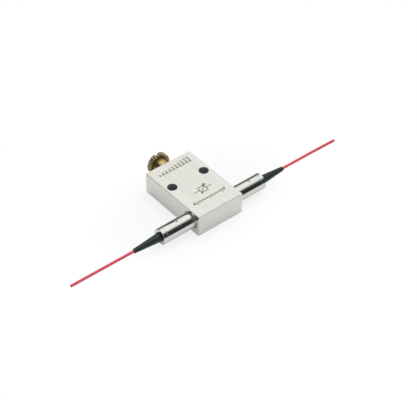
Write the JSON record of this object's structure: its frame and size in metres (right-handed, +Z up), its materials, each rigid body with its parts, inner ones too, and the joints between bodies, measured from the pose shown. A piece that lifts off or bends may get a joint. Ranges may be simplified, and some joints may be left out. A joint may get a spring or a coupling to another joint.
{
  "type": "fibre attenuator",
  "caption": "Small in-line fibre attenuator block with a fibre collimator in each side, short red pigtails and a knurled brass screw that pushes a pin into the light.",
  "frame": {"origin": "on the block's bottom face, straight below the point where the light and the blocking pin cross", "axes": "+X along the fibre from left to right, +Y from the fibre to the screw's head, +Z up"},
  "size_m": [0.1087, 0.033, 0.008],
  "materials": {
    "aluminium_block": "fine bead-blasted and clear anodised",
    "polished_steel": "polished",
    "steel": "ground",
    "spring_steel": "drawn wire",
    "brass": "turned and knurled, bright",
    "bronze": "turned",
    "ring_rubber": "moulded",
    "boot_rubber": "moulded, satin",
    "red_jacket": "extruded, satin gloss",
    "coated_fibre": "clear acrylate coating",
    "capillary_glass": "ground",
    "lens_glass": "polished",
    "cured_epoxy": "cured, glossy"
  },
  "bodies": {
    "block": {"housing": "aluminium_block", "guide_pin": "steel", "shutter_spring": "spring_steel", "drag_ring": "ring_rubber", "thread_bush": "bronze", "collimator_tube_left": "polished_steel", "end_cap_left": "polished_steel", "boot_left": "boot_rubber", "jacket_left": "red_jacket", "fibre_left": "coated_fibre", "ferrule_left": "capillary_glass", "lens_left": "lens_glass", "lens_sleeve_left": "capillary_glass", "epoxy_left": "cured_epoxy", "collimator_tube_right": "polished_steel", "end_cap_right": "polished_steel", "boot_right": "boot_rubber", "jacket_right": "red_jacket", "fibre_right": "coated_fibre", "ferrule_right": "capillary_glass", "lens_right": "lens_glass", "lens_sleeve_right": "capillary_glass", "epoxy_right": "cured_epoxy"},
    "blocking_pin": {"shutter": "steel"},
    "adjuster": {"adjuster_screw": "brass"}
  },
  "joints": [
    {"name": "pin_slide", "type": "slide", "parent": "block", "child": "blocking_pin", "axis": [0, -1, 0], "range_m": [-0.001, 0.002], "deforming": ["shutter_spring"]},
    {"name": "screw_turn", "type": "hinge", "parent": "blocking_pin", "child": "adjuster", "pos_m": [0, 0.02272, 0.004], "axis": [0, -1, 0], "range_deg": [-721, 1441]}
  ],
  "couplings": [
    {"joint": "screw_turn", "follows": "pin_slide", "rad_per_m": 12566}
  ]
}
